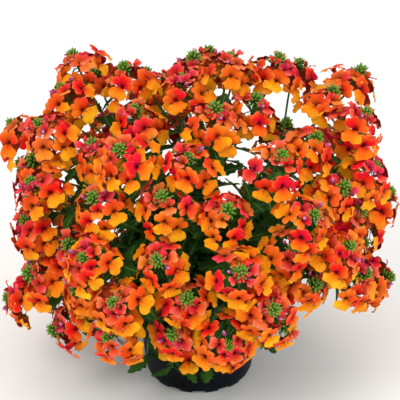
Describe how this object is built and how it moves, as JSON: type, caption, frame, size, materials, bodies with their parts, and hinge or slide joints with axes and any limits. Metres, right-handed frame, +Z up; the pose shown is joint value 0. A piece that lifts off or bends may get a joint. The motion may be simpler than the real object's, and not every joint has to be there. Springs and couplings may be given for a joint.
{
  "type": "potted bedding flower",
  "caption": "Potted nemesia: a wide mound of round heads of two-lipped orange blooms on forked leafy stems, in a tapered black nursery pot.",
  "frame": {"origin": "the middle of the pot's flat underside, on the surface that the pot stands on", "axes": "+Z up along the pot's axis; -Y towards the side that the picture shows; +X to the picture's right"},
  "size_m": [0.3719, 0.3538, 0.3341],
  "materials": {
    "pot_plastic": "satin",
    "potting_soil": "matte",
    "stem_green": "satin",
    "petal_orange": "satin"
  },
  "bodies": {
    "root": {"pot": "pot_plastic", "soil": "potting_soil", "leafy_stem_01": "stem_green", "leafy_stem_02": "stem_green", "leafy_stem_03": "stem_green", "leafy_stem_04": "stem_green", "leafy_stem_05": "stem_green", "leafy_stem_06": "stem_green", "leafy_stem_07": "stem_green", "leafy_stem_08": "stem_green", "leafy_stem_09": "stem_green", "leafy_stem_10": "stem_green", "leafy_stem_11": "stem_green", "leafy_stem_12": "stem_green", "leafy_stem_13": "stem_green", "leafy_stem_14": "stem_green", "flower_spray_01": "petal_orange", "flower_spray_02": "petal_orange", "flower_spray_03": "petal_orange", "flower_spray_04": "petal_orange", "flower_spray_05": "petal_orange", "flower_spray_06": "petal_orange", "flower_spray_07": "petal_orange", "flower_spray_08": "petal_orange", "flower_spray_09": "petal_orange", "flower_spray_10": "petal_orange", "flower_spray_11": "petal_orange", "flower_spray_12": "petal_orange", "flower_spray_13": "petal_orange", "flower_spray_14": "petal_orange", "flower_spray_15": "petal_orange", "flower_spray_16": "petal_orange", "flower_spray_17": "petal_orange", "flower_spray_18": "petal_orange", "flower_spray_19": "petal_orange", "flower_spray_20": "petal_orange", "flower_spray_21": "petal_orange", "flower_spray_22": "petal_orange", "flower_spray_23": "petal_orange", "flower_spray_24": "petal_orange", "flower_spray_25": "petal_orange", "flower_spray_26": "petal_orange", "flower_spray_27": "petal_orange", "flower_spray_28": "petal_orange", "flower_spray_29": "petal_orange", "flower_spray_30": "petal_orange", "flower_spray_31": "petal_orange", "flower_spray_32": "petal_orange", "flower_spray_33": "petal_orange", "flower_spray_34": "petal_orange", "flower_spray_35": "petal_orange", "flower_spray_36": "petal_orange", "flower_spray_37": "petal_orange", "flower_spray_38": "petal_orange", "flower_spray_39": "petal_orange", "flower_spray_40": "petal_orange", "flower_spray_41": "petal_orange", "flower_spray_42": "petal_orange", "flower_spray_43": "petal_orange"}
  },
  "joints": []
}
